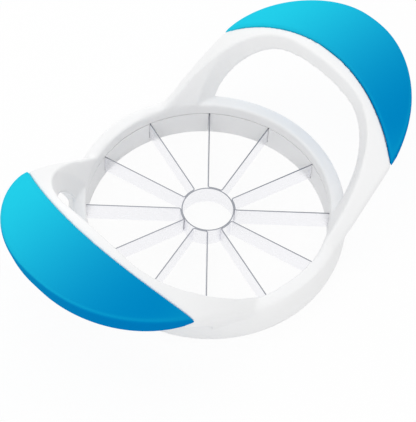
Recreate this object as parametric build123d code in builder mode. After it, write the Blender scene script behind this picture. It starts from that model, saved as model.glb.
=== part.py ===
"""Hand apple corer and slicer: a ring with twelve blades, a core ring and two raised arch handles.

Frame: +Z up, the tool stands on the underside of its ring at z = 0, the ring's axis is Z, and the
two handles lie along X. Everything is symmetric about the XZ and YZ planes. Millimetres.
"""

import math
import os

from build123d import *

os.makedirs("parts", exist_ok=True)

# ---------------------------------------------------------------- driving dimensions
# Ring of the main frame
opening_radius = 50.0        # clear radius for the apple, a 4 inch opening
ring_height = 17.8           # underside to rim
ring_top_width = 5.4         # rim to the soft crease on the top face
ring_swell = 1.9             # how far the outer wall swells beyond that crease
ring_foot_inset = 1.5        # the wall draws in again by this much at the underside
ring_crease_radius = 1.6
rim_radius = 0.9

# Blades and core ring
blade_count = 12
blade_thickness = 0.5
blade_height = 9.4
blade_bottom = 2.4           # cutting edges above the underside
edge_height = 1.4            # height of the ground bevel
edge_thickness = 0.12        # what the bevel leaves at the cutting edge
core_outer_radius = 10.9
core_wall = 0.5
strip_bend = 0.9             # centre line radius of the bends in a strip
tab_length = 3.0             # bent end of a blade behind the carrier ring
tab_bend = 0.4               # centre line radius of its bend

# Blade carrier ring, pressed into the frame from below
carrier_wall = 2.6
foot_width = 1.0             # foot of the carrier beyond its wall
foot_height = 1.6
snap_bead = 0.35             # snap bead on the foot, and its groove in the frame
snap_height = 1.2
fit_clearance = 0.1          # press fit of the foot, and play of a blade in its slot
seam_gap = 0.15              # open seam between carrier and frame on the inner wall

# Handles: plan
handle_reach = 92.4          # ring axis to the outer edge of a handle
handle_radius = 46.0         # the two outer corners of a handle in plan
handle_split = 2.5           # distance of their centres from the middle of the handle
arm_radius = 53.5            # circle about the ring's axis that the arms run tangent to
finger_lean = 15.0           # the walls of the finger openings lean out upwards by this much
finger_reach = 51.8          # far wall of a finger opening, at the height of the ring's rim
finger_half = 39.2           # half width of the opening at that height
finger_corner = 23.0
finger_blend = 20.0          # radius between the far wall and the bowl

# Handles: side view, as crown height on the centre line and height near the arms' outer faces
span_inset = 5.5             # how far inside the arms' circle that second height is taken
root_x, root_crown, root_edge = 18.0, 39.5, 17.0
arm_x, arm_crown, arm_edge = 30.0, 46.2, 24.6
shoulder_x, shoulder_crown, shoulder_edge = 42.0, 51.2, 32.5
top_x, top_crown, top_edge = 62.0, 57.2, 41.6
middle_x, middle_crown, middle_edge = 78.0, 58.2, 42.2
end_crown, end_edge = 57.5, 40.5
under_radius = 66.0          # arch of the handle's underside, seen along X
under_foot_x, under_foot_z = 24.0, 9.7       # where the underside leaves the ring
under_knee_x, under_knee_z = 38.6, 20.0      # where it turns up steeply
under_bend_x, under_bend_z = 42.0, 34.5
under_shoulder_x, under_shoulder_z = 50.0, 44.0
under_flat_x, under_flat_z = 62.0, 51.8      # underside of the handle proper
under_end_z = 48.0
under_slice = 20.0           # spacing of the sections of the underside, and how many each side
under_slices = 3
handle_edge = 2.4            # rounding of the arms' outer upper edge
flank_near_x, flank_near_z = 27.0, 17.2      # two points on the lower edge of an arm's outer face
flank_far_x, flank_far_z = 55.0, 38.2
flank_lean = 32.0            # below that edge the arm leans in by this angle from upright

# Flared bowl that guides the apple between the arms
flare_angle = 26.0           # lean from upright, starting at the rim
flare_turn = 40.0            # radius with which the bowl comes upright again
flare_radius = 63.2          # its radius there

# Soft grips
grip_width = 24.9            # inner edge of a grip to the outer edge of the handle
grip_arc = 95.0              # radius of that edge in plan
grip_proud = 1.3             # how far a grip stands proud of the frame
grip_overhang = 2.0          # how much further it reaches at the middle of the handle
grip_skin = 2.2              # its thickness over the frame's tongue
grip_under_crown = 44.8      # lower edge of a grip on the centre line
grip_under_radius = 150.0    # arch of that lower edge
grip_edge = 2.0              # rounding of the outer upper edge
grip_heel = 1.4              # rounding of the outer lower edge
grip_lean = 15.0             # a grip's outer wall leans in towards its lower edge

# ---------------------------------------------------------------- derived dimensions
blade_top = blade_bottom + blade_height
crease_radius = opening_radius + ring_top_width
ring_outer_radius = crease_radius + ring_swell
foot_radius = ring_outer_radius - ring_foot_inset
carrier_radius = opening_radius + carrier_wall
pocket_radius = carrier_radius + foot_width
pocket_top = blade_top + seam_gap
handle_centre = handle_reach - handle_radius
grip_start = handle_reach - grip_width
half_span = arm_radius + grip_proud
span = arm_radius - span_inset
blade_step = 360 / blade_count
strip_count = blade_count // 2
grip_wall = (-math.tan(math.radians(grip_lean)), 0, -1)
grip_plane = top_crown + 2 * handle_edge         # a height just above the grips
finger_normal = (math.cos(math.radians(finger_lean)), 0, -math.sin(math.radians(finger_lean)))
above = 2 * top_crown        # a height above everything
beyond = 2 * handle_reach    # a distance beyond everything


def arch_drop(radius, y):
    """How far an arch of this radius has fallen at a distance y from its crown."""
    return radius - math.sqrt(radius**2 - y**2)


def arch_radius(crown, edge):
    """Radius of the arch that has these heights on the centre line and at the span."""
    rise = crown - edge
    return (span**2 + rise**2) / (2 * rise)


def arm_side(x):
    """Distance of an arm's outer face from the middle of the handle, at this x."""
    towards = math.atan2(handle_split, handle_centre)
    reach = math.hypot(handle_centre, handle_split)
    turn = towards + math.acos((arm_radius - handle_radius) / reach)
    return (arm_radius - x * math.cos(turn)) / math.sin(turn)


def outline(grow=0.0):
    """Plan outline of one handle's outer edge, ring side included."""
    with BuildSketch() as plan:
        Circle(arm_radius + grow)
        with Locations((handle_centre, handle_split), (handle_centre, -handle_split)):
            Circle(handle_radius + grow)
        make_hull()
        with Locations((-beyond / 2, 0)):
            Rectangle(beyond, beyond, mode=Mode.SUBTRACT)
    return plan.sketch


def below_top(lift=0.0):
    """Everything under a handle's upper surface, raised by lift."""
    stations = [
        (root_x, root_crown, root_edge),
        (arm_x, arm_crown, arm_edge),
        (shoulder_x, shoulder_crown, shoulder_edge),
        (top_x, top_crown, top_edge),
        (middle_x, middle_crown, middle_edge),
        (handle_reach + 2 * handle_edge, end_crown, end_edge),
    ]
    with BuildPart() as block:
        for x, crown, edge in stations:
            side = crown - arch_drop(arch_radius(crown, edge), half_span) + lift
            with BuildSketch(Plane((x, 0, 0), x_dir=(0, 1, 0), z_dir=(1, 0, 0))):
                with BuildLine():
                    ThreePointArc((-half_span, side), (0, crown + lift), (half_span, side))
                    Polyline(
                        (half_span, side), (half_span, -above), (-half_span, -above), (-half_span, side)
                    )
                make_face()
        loft()
    return block.part


# ---------------------------------------------------------------- shaping volumes of a handle
frame_outline, grip_outline, tongue_outline = outline(), outline(grip_proud), outline(-grip_skin)
frame_top, grip_top, tongue_top = below_top(), below_top(grip_proud), below_top(-grip_skin)

with BuildPart() as underside:
    reach = handle_reach + handle_edge
    for index in range(-under_slices, under_slices + 1):
        y = index * under_slice
        level = -arch_drop(under_radius, y)
        with BuildSketch(Plane((0, y, level), x_dir=(1, 0, 0), z_dir=(0, -1, 0))):
            with BuildLine():
                Line((under_foot_x, under_foot_z), (under_knee_x, under_knee_z))
                Spline(
                    (under_knee_x, under_knee_z),
                    (under_bend_x, under_bend_z),
                    (under_shoulder_x, under_shoulder_z),
                    (under_flat_x, under_flat_z),
                    (reach, under_end_z),
                )
                Polyline(
                    (reach, under_end_z),
                    (reach, -above),
                    (under_foot_x, -above),
                    (under_foot_x, under_foot_z),
                )
            make_face()
    loft()

with BuildPart() as flank_cut:
    near = Vector(flank_near_x, arm_side(flank_near_x), flank_near_z)
    far = Vector(flank_far_x, arm_side(flank_far_x), flank_far_z)
    with BuildSketch(Plane(near, x_dir=(0, 1, 0), z_dir=far - near)):
        with BuildLine():
            lean = math.radians(flank_lean)
            Polyline(
                (0, 0),
                (-above * math.sin(lean), -above * math.cos(lean)),
                (above, -above * math.cos(lean)),
                (above, 0),
                close=True,
            )
        make_face()
    extrude(amount=arm_radius, both=True)
    mirror(about=Plane.XZ)

with BuildPart() as bowl:
    with BuildSketch(Plane.XZ):
        with BuildLine():
            lean = math.radians(flare_angle)
            turn_radius = flare_radius - flare_turn * (1 - math.cos(lean))
            turn_height = ring_height + (turn_radius - opening_radius) / math.tan(lean)
            upright = turn_height + flare_turn * math.sin(lean)
            Polyline(
                (0, above),
                (0, -seam_gap),
                (pocket_radius, -seam_gap),
                (pocket_radius, pocket_top),
                (opening_radius, pocket_top),
                (opening_radius, ring_height),
            )
            Line((opening_radius, ring_height), (turn_radius, turn_height))
            RadiusArc((turn_radius, turn_height), (flare_radius, upright), -flare_turn)
            Polyline((flare_radius, upright), (flare_radius, above), (0, above))
        make_face()
    revolve(axis=Axis.Z)
    with BuildSketch(Plane((finger_reach, 0, ring_height), x_dir=(0, 1, 0), z_dir=finger_normal)):
        Rectangle(beyond, 2 * beyond)
    extrude(amount=beyond, mode=Mode.SUBTRACT)
    wall = faces().filter_by(GeomType.PLANE).sort_by(Axis.X)[-1]
    fillet(wall.edges().filter_by_position(Axis.Z, ring_height + rim_radius, above), radius=finger_blend)

with BuildPart() as finger_opening:
    with BuildSketch(Plane.XY.offset(ring_height)):
        with Locations((finger_reach / 2, 0)):
            Rectangle(finger_reach, 2 * finger_half)
        fillet(vertices().group_by(Axis.X)[-1], radius=finger_corner)
    extrude(amount=-ring_height)
    extrude(faces().sort_by(Axis.Z)[-1], amount=above, taper=-finger_lean)

with BuildPart() as grip_zone:
    with BuildSketch():
        with Locations((beyond / 2, 0)):
            Rectangle(beyond, beyond)
        with Locations((grip_start - grip_arc, 0)):
            Circle(grip_arc, mode=Mode.SUBTRACT)
    extrude(amount=above)

with BuildPart() as grip_underside:
    with BuildSketch(Plane.YZ):
        with BuildLine():
            half = ring_outer_radius
            side = grip_under_crown - arch_drop(grip_under_radius, half)
            ThreePointArc((-half, side), (0, grip_under_crown), (half, side))
            Polyline((half, side), (half, -above), (-half, -above), (-half, side))
        make_face()
    extrude(amount=beyond)

# The tongue of the frame inside a grip
with BuildPart() as tongue:
    with BuildSketch(Plane.XY.offset(grip_plane)):
        add(tongue_outline)
    extrude(amount=above, dir=grip_wall)
    add(tongue_top, mode=Mode.INTERSECT)
    add(grip_underside.part.moved(Location((0, 0, grip_skin))), mode=Mode.SUBTRACT)
    add(grip_zone.part, mode=Mode.INTERSECT)

# ---------------------------------------------------------------- handle with its two arms
with BuildPart() as handle:
    with BuildSketch():
        add(frame_outline)
    extrude(amount=above)
    add(frame_top, mode=Mode.INTERSECT)
    add(underside.part, mode=Mode.SUBTRACT)
    add(finger_opening.part, mode=Mode.SUBTRACT)
    add(bowl.part, mode=Mode.SUBTRACT)
    add(flank_cut.part, mode=Mode.SUBTRACT)
    add(grip_zone.part, mode=Mode.SUBTRACT)
    add(tongue.part)
    for side in (arm_radius, -arm_radius):
        fillet(edges().sort_by_distance((arm_x, side, arm_edge - handle_edge))[0], radius=handle_edge)

# ---------------------------------------------------------------- main frame
with BuildPart() as main_frame:
    with BuildSketch(Plane.XZ):
        with BuildLine():
            Polyline(
                (foot_radius, 0),
                (pocket_radius, 0),
                (pocket_radius, snap_height - snap_bead),
                (pocket_radius + snap_bead, snap_height),
                (pocket_radius, snap_height + snap_bead),
                (pocket_radius, pocket_top),
                (opening_radius, pocket_top),
                (opening_radius, ring_height),
                (crease_radius, ring_height),
            )
            ThreePointArc(
                (crease_radius, ring_height),
                (ring_outer_radius, ring_height / 2),
                (foot_radius, 0),
            )
        make_face()
        rim = vertices().group_by(Axis.Y)[-1].sort_by(Axis.X)
        fillet(rim[0], radius=rim_radius)
        fillet(rim[-1], radius=ring_crease_radius)
    revolve(axis=Axis.Z)
    add(handle.part)
    add(mirror(handle.part, about=Plane.YZ, mode=Mode.PRIVATE))
main_frame.part.label = "main_frame"
export_step(main_frame.part, "parts/main_frame.step")

# ---------------------------------------------------------------- soft grips
with BuildPart() as grip_right:
    with BuildSketch(Plane.XY.offset(grip_plane)):
        add(grip_outline.moved(Location((grip_overhang, 0, 0))))
    extrude(amount=above, dir=grip_wall)
    add(grip_zone.part, mode=Mode.INTERSECT)
    add(grip_top, mode=Mode.INTERSECT)
    add(grip_underside.part, mode=Mode.SUBTRACT)
    fillet(faces().sort_by(Axis.Z)[-1].edges().sort_by(Axis.X)[-1], radius=grip_edge)
    lower_face = faces().filter_by(GeomType.CYLINDER).sort_by(Axis.Z)[0]
    fillet(lower_face.edges().sort_by(Axis.X)[-1], radius=grip_heel)
    add(tongue.part, mode=Mode.SUBTRACT)
grip_right.part.label = "grip_right"
export_step(grip_right.part, "parts/grip_right.step")

with BuildPart() as grip_left:
    add(mirror(grip_right.part, about=Plane.YZ, mode=Mode.PRIVATE))
grip_left.part.label = "grip_left"
export_step(grip_left.part, "parts/grip_left.step")

# ---------------------------------------------------------------- blade carrier ring
foot_outer_radius = pocket_radius - fit_clearance
with BuildPart() as carrier:
    with BuildSketch(Plane.XZ):
        with BuildLine():
            Polyline(
                (opening_radius, 0),
                (foot_outer_radius, 0),
                (foot_outer_radius, snap_height - snap_bead),
                (foot_outer_radius + snap_bead, snap_height),
                (foot_outer_radius, snap_height + snap_bead),
                (foot_outer_radius, foot_height),
                (carrier_radius, foot_height),
                (carrier_radius, blade_top),
                (opening_radius, blade_top),
                close=True,
            )
        make_face()
    revolve(axis=Axis.Z)
    with BuildSketch(Plane.XY.offset(blade_bottom)):
        with PolarLocations(opening_radius, blade_count, start_angle=blade_step / 2):
            Rectangle(4 * carrier_wall, blade_thickness + 2 * fit_clearance)
    extrude(amount=above, mode=Mode.SUBTRACT)
carrier.part.label = "blade_carrier_ring"
export_step(carrier.part, "parts/blade_carrier_ring.step")

# ---------------------------------------------------------------- core ring
with BuildPart() as core_ring:
    with BuildSketch(Plane.XZ):
        with BuildLine():
            Polyline(
                (core_outer_radius, blade_bottom),
                (core_outer_radius, blade_top),
                (core_outer_radius - core_wall, blade_top),
                (core_outer_radius - core_wall, blade_bottom + edge_height),
                (core_outer_radius - edge_thickness, blade_bottom),
                close=True,
            )
        make_face()
    revolve(axis=Axis.Z)
core_ring.part.label = "core_ring"
export_step(core_ring.part, "parts/core_ring.step")

# ---------------------------------------------------------------- blade strips
leg_angle = math.radians(blade_step / 2)
hug_radius = core_outer_radius + blade_thickness / 2
leg_reach = carrier_radius + fit_clearance + blade_thickness / 2
leg_root = (hug_radius * math.cos(leg_angle), hug_radius * math.sin(leg_angle))
leg_end = (leg_reach * math.cos(leg_angle), leg_reach * math.sin(leg_angle))
tab_end = (
    leg_end[0] - tab_length * math.sin(leg_angle),
    leg_end[1] + tab_length * math.cos(leg_angle),
)


def strip_plan(thickness):
    """Plan of one U-shaped strip, its middle on +X: two legs, the arc between them and the tabs."""
    with BuildSketch() as plan:
        with BuildLine():
            FilletPolyline(tab_end, leg_end, leg_root, radius=tab_bend)
            CenterArc((0, 0), hug_radius, 0, blade_step / 2)
            root = vertices().sort_by_distance(leg_root)[0]
            fillet(root, radius=strip_bend)
            mirror(about=Plane.XZ)
        trace(line_width=thickness)
    return plan.sketch


strip_outline, edge_outline = strip_plan(blade_thickness), strip_plan(edge_thickness)
edge_top = blade_bottom + edge_height
with BuildPart() as strip:
    with BuildSketch(Plane.XY.offset(edge_top)):
        add(strip_outline)
    extrude(amount=blade_height - edge_height)
    with BuildSketch(Plane.XY.offset(blade_bottom)):
        add(edge_outline)
    with BuildSketch(Plane.XY.offset(edge_top)):
        add(strip_outline)
    loft(ruled=True)

for index in range(strip_count):
    placed = strip.part.moved(Rotation(0, 0, blade_step * (2 * index + 1)))
    placed.label = f"blade_strip_{index + 1}"
    export_step(placed, f"parts/blade_strip_{index + 1}.step")
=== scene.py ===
"""Looks of the hand apple corer and slicer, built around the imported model. Metres, +Z up.

The tool stands on the underside of its ring, and its two handles lie along X. The frame and the
soft grips are shown by softened copies of their CAD forms. The blades, the core ring and the
blade carrier keep their CAD forms and get their finish here.
"""

import math

import bmesh
import bpy
from mathutils import Matrix, Vector


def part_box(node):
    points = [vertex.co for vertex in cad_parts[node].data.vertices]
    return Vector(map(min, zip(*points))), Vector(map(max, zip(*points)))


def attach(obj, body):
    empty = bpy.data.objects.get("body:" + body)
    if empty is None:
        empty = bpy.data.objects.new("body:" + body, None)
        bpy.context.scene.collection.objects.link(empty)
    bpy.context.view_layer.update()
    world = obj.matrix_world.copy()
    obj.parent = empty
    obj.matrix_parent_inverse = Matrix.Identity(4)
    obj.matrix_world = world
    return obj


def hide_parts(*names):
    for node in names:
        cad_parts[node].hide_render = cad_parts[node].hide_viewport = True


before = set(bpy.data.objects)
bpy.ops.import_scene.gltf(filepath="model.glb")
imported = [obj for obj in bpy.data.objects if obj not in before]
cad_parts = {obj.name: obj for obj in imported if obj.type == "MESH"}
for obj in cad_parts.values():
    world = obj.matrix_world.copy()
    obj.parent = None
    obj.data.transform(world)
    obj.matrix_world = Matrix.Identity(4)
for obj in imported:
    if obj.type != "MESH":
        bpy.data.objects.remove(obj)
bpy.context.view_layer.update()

MM = 0.001

# Upper edges of the blades and of the blade carrier, to the micrometre
BLADE_TOP = round(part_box("core_ring")[1].z, 6)

# Softening of the frame: size of its even faces, rounds of relaxing, share of the faces kept
FRAME_FACE = 0.42 * MM
FRAME_ROUNDS = 9
FRAME_KEPT = 0.38

# Roots of the arms, where their upper faces run out into the ring, as ranges in |x|, |y| and z
ROOT_X = (9 * MM, 31 * MM)
ROOT_Y = (43 * MM, 60 * MM)
ROOT_Z = (14 * MM, 28 * MM)
ROOT_ROUNDS = 40

# Lower inner edge of the frame, above the blade carrier, kept crisp
OPENING_RADIUS = 50.0 * MM
SEAM_GAP = 0.15 * MM
SEAM_Z = BLADE_TOP + SEAM_GAP
SEAM_REACH = 1.2 * MM

# Softening of the grips
GRIP_FACE = 0.42 * MM
GRIP_ROUNDS = 26

# Inner upper edge of a grip: an arc in plan that crosses the X axis at GRIP_INNER
GRIP_INNER = 67.5 * MM
GRIP_ARC = 95.0 * MM
LIP_DEPTH = 3.0 * MM
LIP_ROUNDS = 16

# White plastic: two tones of a faint mottle, and noise scales per metre
ABS_DULL = (0.865, 0.868, 0.872, 1)
ABS_BRIGHT = (0.885, 0.887, 0.89, 1)
ABS_MOTTLE = 60.0
ABS_GRAIN = 4200.0
ABS_ROUGHNESS = 0.34
ABS_ROUGHNESS_SPREAD = 0.10
ABS_SPECULAR = 0.35

# Blue rubber: deep to bright along Y, painted shade on the wall and a painted highlight on the rounded
# edge
FADE_START = -42 * MM
FADE_END = 46 * MM
BLUE_DEEP = (0.0, 0.230, 0.53, 1)
BLUE_BRIGHT = (0.016, 0.59, 0.77, 1)
BLUE_WALL_SHADE = (0.0, 0.185, 0.50, 1)
BLUE_EDGE_HIGHLIGHT = (0.01, 0.50, 0.74, 1)
WALL_SHADE_SHARE = 0.7
EDGE_HIGHLIGHT_SHARE = 0.18
RUBBER_GRAIN = 2600.0
RUBBER_ROUGHNESS = 0.50
RUBBER_ROUGHNESS_SPREAD = 0.08

# How far up a grip's surface faces where its painted wall shade ends, and where the painted highlight on
# its rounded edge starts and ends
WALL_SHADE_END = (0.1, 0.6)
EDGE_HIGHLIGHT_START = (0.40, 0.68)
EDGE_HIGHLIGHT_END = (0.74, 0.90)

# A grip's wall that looks straight in to the ring counts as facing up, so gets no painted shade, and
# counts less as it turns away
INWARD_FALL = 1.5

# Stainless strip: bright faces with drawn lines, and a darker upper edge
STEEL_FACE = (0.96, 0.96, 0.985, 1)
STEEL_DARK_EDGE = (0.30, 0.31, 0.34, 1)
DARK_EDGE_START = BLADE_TOP - 0.06 * MM
DARK_EDGE_FULL = BLADE_TOP - 0.01 * MM
DRAWN_SCALE = 900.0
DRAWN_STRETCH = (0.15, 0.15, 3.0)
STEEL_ROUGHNESS = 0.22
DRAWN_ROUGHNESS = 0.14
DARK_EDGE_ROUGHNESS = 0.15

# Floor: its own colour, and how white it is to the camera and in reflections
WHITE = (1, 1, 1, 1)
FLOOR_COLOUR = (0.9, 0.9, 0.9, 1)
FLOOR_WHITE_SHARE = 0.92
FLOOR_HALF = 3.0

# Surroundings: level of their light, and level in reflections
WORLD_LEVEL = 0.80
WORLD_MIRROR_LEVEL = 1.0

# Lamps: place, diameter and power in watts
LAMPS = {
    "key": ((-0.15, 0.25, 1.1), 0.7, 1.6),
    "fill": ((-0.62, -0.58, 0.78), 0.8, 1.9),
    "back": ((0.70, 0.75, 0.50), 0.8, 2.2),
}
LAMP_AIM = Vector((0, 0, 20 * MM))

# Camera
VIEW_TARGET = Vector((0, 0, BLADE_TOP))
VIEW_AZIMUTH = math.radians(-47.449)
VIEW_ELEVATION = math.radians(53.952)
VIEW_ROLL = math.radians(4.032)
VIEW_DISTANCE = 0.793
VIEW_SHIFT = (0.0002, -0.0047)
LENS = 164.6


# ------------------------------------------------------------------ node helpers
class Socket:
    """An output of a node. Arithmetic on it adds Math nodes."""

    def __init__(self, wiring, out):
        self.wiring = wiring
        self.out = out

    def _math(self, operation, first, second):
        return self.wiring.node("ShaderNodeMath", {"operation": operation}, (first, second))

    def __add__(self, other):
        return self._math("ADD", self, other)

    def __radd__(self, other):
        return self._math("ADD", other, self)

    def __rsub__(self, other):
        return self._math("SUBTRACT", other, self)

    def __mul__(self, other):
        return self._math("MULTIPLY", self, other)

    def __rmul__(self, other):
        return self._math("MULTIPLY", other, self)


class Wiring:
    """The nodes of a material or of the world, written as expressions."""

    def __init__(self, owner, output="ShaderNodeOutputMaterial"):
        owner.use_nodes = True
        self.nodes = owner.node_tree.nodes
        self.links = owner.node_tree.links
        self.nodes.clear()
        self.output = self.nodes.new(output)

    def node(self, kind, settings=None, inputs=(), out=0):
        """Adds a node and returns one of its outputs. Inputs are values or sockets."""
        node = self.nodes.new(kind)
        for key, value in (settings or {}).items():
            setattr(node, key, value)
        pairs = inputs.items() if isinstance(inputs, dict) else enumerate(inputs)
        for key, value in pairs:
            if isinstance(value, Socket):
                self.links.new(value.out, node.inputs[key])
            else:
                node.inputs[key].default_value = value
        return Socket(self, node.outputs[out])

    def position(self):
        return self.node("ShaderNodeTexCoord", out="Object")

    def axis(self, vector, letter):
        return self.node("ShaderNodeSeparateXYZ", None, (vector,), out=letter)

    def attribute(self, name):
        return self.node("ShaderNodeAttribute", {"attribute_name": name}, out="Fac")

    def ray(self, kind):
        return self.node("ShaderNodeLightPath", out=f"Is {kind} Ray")

    def noise(self, vector, scale, detail=2.0, stretch=(1, 1, 1)):
        placed = self.node("ShaderNodeMapping", None, {"Vector": vector, "Scale": stretch})
        inputs = {"Vector": placed, "Scale": scale, "Detail": detail}
        return self.node("ShaderNodeTexNoise", None, inputs)

    def between(self, value, low, high):
        """Rises smoothly from 0 at low to 1 at high."""
        settings = {"interpolation_type": "SMOOTHSTEP"}
        return self.node("ShaderNodeMapRange", settings, (value, low, high))

    def mix(self, factor, first, second):
        """A colour from first, at factor 0, to second. Its colour sockets are numbers 6 and 7."""
        return self.node("ShaderNodeMix", {"data_type": "RGBA"}, {0: factor, 6: first, 7: second}, out=2)

    def bump(self, height, strength, distance):
        inputs = {"Height": height, "Strength": strength, "Distance": distance}
        return self.node("ShaderNodeBump", None, inputs)

    def principled(self, inputs):
        return self.node("ShaderNodeBsdfPrincipled", None, inputs)

    def surface(self, shader):
        """Ends the nodes in their shader."""
        self.links.new(shader.out, self.output.inputs["Surface"])


# ------------------------------------------------------------------ materials
def white_abs():
    """White moulded plastic with a faint mottle and a fine grain."""
    material = bpy.data.materials.new("white_abs")
    wiring = Wiring(material)
    at = wiring.position()
    mottle = wiring.noise(at, ABS_MOTTLE)
    grain = wiring.noise(at, ABS_GRAIN)
    plastic = wiring.principled(
        {
            "Base Color": wiring.mix(mottle, ABS_DULL, ABS_BRIGHT),
            "Roughness": ABS_ROUGHNESS + ABS_ROUGHNESS_SPREAD * mottle,
            "Specular IOR Level": ABS_SPECULAR,
            "Normal": wiring.bump(grain, strength=0.06, distance=0.05 * MM),
        }
    )
    wiring.surface(plastic)
    return material


def blue_rubber():
    """Matt blue rubber, brighter towards +Y, with painted shade on its wall and a painted highlight on
    its rounded edge.
    """
    material = bpy.data.materials.new("blue_rubber")
    wiring = Wiring(material)
    at = wiring.position()
    fade = wiring.between(wiring.axis(at, "Y"), FADE_START, FADE_END)
    grain = wiring.noise(at, RUBBER_GRAIN)
    facing = wiring.attribute("facing")
    # painted shade: the grip's wall, where its surface faces sideways or down, is coloured a deeper blue
    wall = 1.0 - wiring.between(facing, *WALL_SHADE_END)
    # painted highlight: a paler band along the rounded edge, between the grip's top and its wall
    edge = wiring.between(facing, *EDGE_HIGHLIGHT_START) * (1.0 - wiring.between(facing, *EDGE_HIGHLIGHT_END))
    top = wiring.mix(fade, BLUE_DEEP, BLUE_BRIGHT)
    body = wiring.mix(WALL_SHADE_SHARE * wall, top, BLUE_WALL_SHADE)
    rubber = wiring.principled(
        {
            "Base Color": wiring.mix(EDGE_HIGHLIGHT_SHARE * edge, body, BLUE_EDGE_HIGHLIGHT),
            "Roughness": RUBBER_ROUGHNESS + RUBBER_ROUGHNESS_SPREAD * grain,
            "Specular IOR Level": 0.0,
            "Normal": wiring.bump(grain, strength=0.10, distance=0.05 * MM),
        }
    )
    wiring.surface(rubber)
    return material


def stainless_strip():
    """Drawn stainless strip whose upper edge is coloured dark."""
    material = bpy.data.materials.new("stainless_strip")
    wiring = Wiring(material)
    at = wiring.position()
    drawn = wiring.noise(at, DRAWN_SCALE, detail=3.0, stretch=DRAWN_STRETCH)
    # the strips' upper edge, from 0.06 mm below their top, is coloured dark
    dark_edge = wiring.between(wiring.axis(at, "Z"), DARK_EDGE_START, DARK_EDGE_FULL)
    steel = wiring.principled(
        {
            "Base Color": wiring.mix(dark_edge, STEEL_FACE, STEEL_DARK_EDGE),
            "Metallic": 1.0,
            "Roughness": STEEL_ROUGHNESS + DRAWN_ROUGHNESS * drawn + DARK_EDGE_ROUGHNESS * dark_edge,
            "Normal": wiring.bump(drawn, strength=0.08, distance=0.02 * MM),
        }
    )
    wiring.surface(steel)
    return material


def paper_floor():
    """White floor. The camera and mirror-like surfaces see it white, with a faint shadow."""
    material = bpy.data.materials.new("paper_floor")
    wiring = Wiring(material)
    lit = wiring.node("ShaderNodeBsdfDiffuse", None, {"Color": FLOOR_COLOUR})
    glow = wiring.node("ShaderNodeEmission", None, {"Color": WHITE, "Strength": 1.0})
    seen = wiring.ray("Camera") + wiring.ray("Glossy") + wiring.ray("Transmission")
    paper = wiring.node("ShaderNodeMixShader", None, (FLOOR_WHITE_SHARE * seen, lit, glow))
    wiring.surface(paper)
    return material


# ------------------------------------------------------------------ mesh helpers
def new_object(name, mesh):
    piece = bpy.data.objects.new(name, mesh)
    bpy.context.scene.collection.objects.link(piece)
    return piece


def dress(mesh, material):
    """Gives a mesh one material."""
    mesh.materials.clear()
    mesh.materials.append(material)


def welded_copy(node):
    """A copy of a CAD node's mesh, with its loose triangles joined."""
    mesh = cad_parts[node].data.copy()
    shape = bmesh.new()
    shape.from_mesh(mesh)
    bmesh.ops.remove_doubles(shape, verts=shape.verts, dist=0.001 * MM)
    shape.to_mesh(mesh)
    shape.free()
    return mesh


def apply_modifiers(piece):
    """Puts the result of the piece's modifiers in its mesh."""
    bpy.context.view_layer.update()
    evaluated = piece.evaluated_get(bpy.context.evaluated_depsgraph_get())
    mesh = bpy.data.meshes.new_from_object(evaluated)
    piece.modifiers.clear()
    piece.data = mesh


def even_skin(node, name, face_size):
    """A new piece in the form of a CAD node, remeshed into even faces."""
    piece = new_object(name, welded_copy(node))
    remesh = piece.modifiers.new("remesh", "REMESH")
    remesh.mode = "VOXEL"
    remesh.voxel_size = face_size
    apply_modifiers(piece)
    return piece


def opened(piece):
    """A piece's mesh, ready for bmesh operators."""
    shape = bmesh.new()
    shape.from_mesh(piece.data)
    return shape


def closed(shape, piece):
    """Puts an opened shape back in its piece, shaded smooth."""
    for face in shape.faces:
        face.smooth = True
    shape.to_mesh(piece.data)
    shape.free()


def relax(shape, verts, rounds):
    """Moves points halfway towards the middle of their neighbours, again and again."""
    axes = {"use_axis_x": True, "use_axis_y": True, "use_axis_z": True}
    for _ in range(rounds):
        bmesh.ops.smooth_vert(shape, verts=verts, factor=0.5, **axes)


def show_as(piece, node, material):
    """Shows a finished piece in the place of a CAD node."""
    piece.data.name = piece.name
    dress(piece.data, material)
    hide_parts(node)
    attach(piece, "root")


# ------------------------------------------------------------------ frame
def at_arm_root(at):
    """Whether a point lies where an arm runs out into the ring."""
    in_x = ROOT_X[0] < abs(at.x) < ROOT_X[1]
    in_y = ROOT_Y[0] < abs(at.y) < ROOT_Y[1]
    return in_x and in_y and ROOT_Z[0] < at.z < ROOT_Z[1]


def crisp_seam(shape):
    """Puts the frame's lower inner edge back on its wall and on its shoulder."""
    for vert in shape.verts:
        radius = math.hypot(vert.co.x, vert.co.y)
        outwards = radius - OPENING_RADIUS
        upwards = vert.co.z - SEAM_Z
        if max(abs(outwards), abs(upwards)) > SEAM_REACH:
            continue
        if outwards < upwards:
            vert.co.x *= OPENING_RADIUS / radius
            vert.co.y *= OPENING_RADIUS / radius
        else:
            vert.co.z = SEAM_Z


def frame_moulding(material):
    """The white frame: ring, arms and handle arches, with a moulding's soft edges."""
    piece = even_skin("main_frame", "frame_moulding", FRAME_FACE)
    shape = opened(piece)
    relax(shape, shape.verts, FRAME_ROUNDS)
    relax(shape, [vert for vert in shape.verts if at_arm_root(vert.co)], ROOT_ROUNDS)
    crisp_seam(shape)
    closed(shape, piece)
    thinned = piece.modifiers.new("thinned", "DECIMATE")
    thinned.ratio = FRAME_KEPT
    apply_modifiers(piece)
    show_as(piece, "main_frame", material)


# ------------------------------------------------------------------ grips
def at_lip(at):
    """Whether a point lies on the inner upper edge of a grip."""
    arc_centre = GRIP_ARC - GRIP_INNER
    beyond = math.hypot(abs(at.x) + arc_centre, at.y) - GRIP_ARC
    return beyond < LIP_DEPTH


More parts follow.
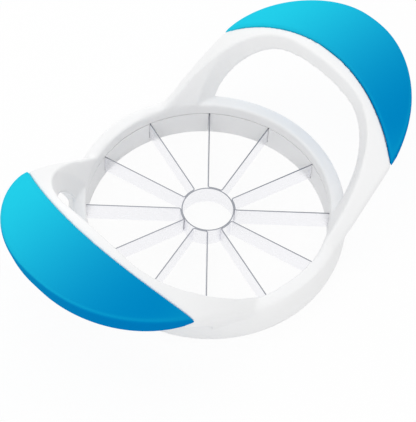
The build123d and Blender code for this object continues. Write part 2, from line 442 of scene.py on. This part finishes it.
def mark_facing(shape):
    """Stores how far up each point faces, for the rubber's painted wall shade and painted edge
    highlight.
    """
    shape.normal_update()
    facing = shape.verts.layers.float.new("facing")
    for vert in shape.verts:
        inwards = -vert.normal.x * math.copysign(1.0, vert.co.x)
        vert[facing] = max(vert.normal.z, 1.0 - INWARD_FALL * (1.0 - inwards))


def soft_grip(side, material):
    """A blue grip, softer than the frame, with a rounded lip towards the ring."""
    node = f"grip_{side}"
    piece = even_skin(node, f"soft_grip_{side}", GRIP_FACE)
    shape = opened(piece)
    relax(shape, shape.verts, GRIP_ROUNDS)
    relax(shape, [vert for vert in shape.verts if at_lip(vert.co)], LIP_ROUNDS)
    mark_facing(shape)
    closed(shape, piece)
    show_as(piece, node, material)


# ------------------------------------------------------------------ stage, light and camera
def stage():
    shape = bmesh.new()
    bmesh.ops.create_grid(shape, x_segments=1, y_segments=1, size=FLOOR_HALF)
    mesh = bpy.data.meshes.new("floor")
    shape.to_mesh(mesh)
    shape.free()
    floor = new_object("floor", mesh)
    dress(mesh, paper_floor())


def studio_world():
    """Even white surroundings. Mirror-like surfaces see them at full white."""
    world = bpy.data.worlds.new("studio")
    wiring = Wiring(world, "ShaderNodeOutputWorld")
    levels = {"Value": wiring.ray("Glossy"), "To Min": WORLD_LEVEL, "To Max": WORLD_MIRROR_LEVEL}
    level = wiring.node("ShaderNodeMapRange", None, levels)
    wiring.surface(wiring.node("ShaderNodeBackground", None, {"Color": WHITE, "Strength": level}))
    bpy.context.scene.world = world


def lamp(name, place, diameter, power):
    """A round area lamp that looks at the middle of the tool."""
    light = bpy.data.lights.new(name, "AREA")
    light.shape = "DISK"
    light.size = diameter
    light.energy = power
    holder = new_object(name, light)
    turn = (LAMP_AIM - Vector(place)).to_track_quat("-Z", "Y").to_matrix().to_4x4()
    holder.matrix_world = Matrix.Translation(place) @ turn


def camera():
    """A long lens high above the -X -Y side of the tool, slightly rolled."""
    level_back = Vector((math.sin(VIEW_AZIMUTH), -math.cos(VIEW_AZIMUTH), 0))
    back = level_back * math.cos(VIEW_ELEVATION) + Vector((0, 0, math.sin(VIEW_ELEVATION)))
    right = Vector((math.cos(VIEW_AZIMUTH), math.sin(VIEW_AZIMUTH), 0))
    up = back.cross(right)
    rolled_right = right * math.cos(VIEW_ROLL) + up * math.sin(VIEW_ROLL)
    rolled_up = up * math.cos(VIEW_ROLL) - right * math.sin(VIEW_ROLL)
    lens = bpy.data.cameras.new("camera")
    lens.lens = LENS
    lens.shift_x, lens.shift_y = VIEW_SHIFT
    holder = new_object("camera", lens)
    turn = Matrix((rolled_right, rolled_up, back)).transposed().to_4x4()
    holder.matrix_world = Matrix.Translation(VIEW_TARGET + back * VIEW_DISTANCE) @ turn
    bpy.context.scene.camera = holder


# ------------------------------------------------------------------ the tool and its studio
plastic_finish = white_abs()
rubber_finish = blue_rubber()
steel_finish = stainless_strip()

frame_moulding(plastic_finish)
for side in ("right", "left"):
    soft_grip(side, rubber_finish)

dress(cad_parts["blade_carrier_ring"].data, plastic_finish)
for name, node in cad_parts.items():
    if name.startswith("blade_strip") or name == "core_ring":
        dress(node.data, steel_finish)

stage()
studio_world()
for name, (place, diameter, power) in LAMPS.items():
    lamp(name, place, diameter, power)
camera()
bpy.context.scene.view_settings.view_transform = "Standard"
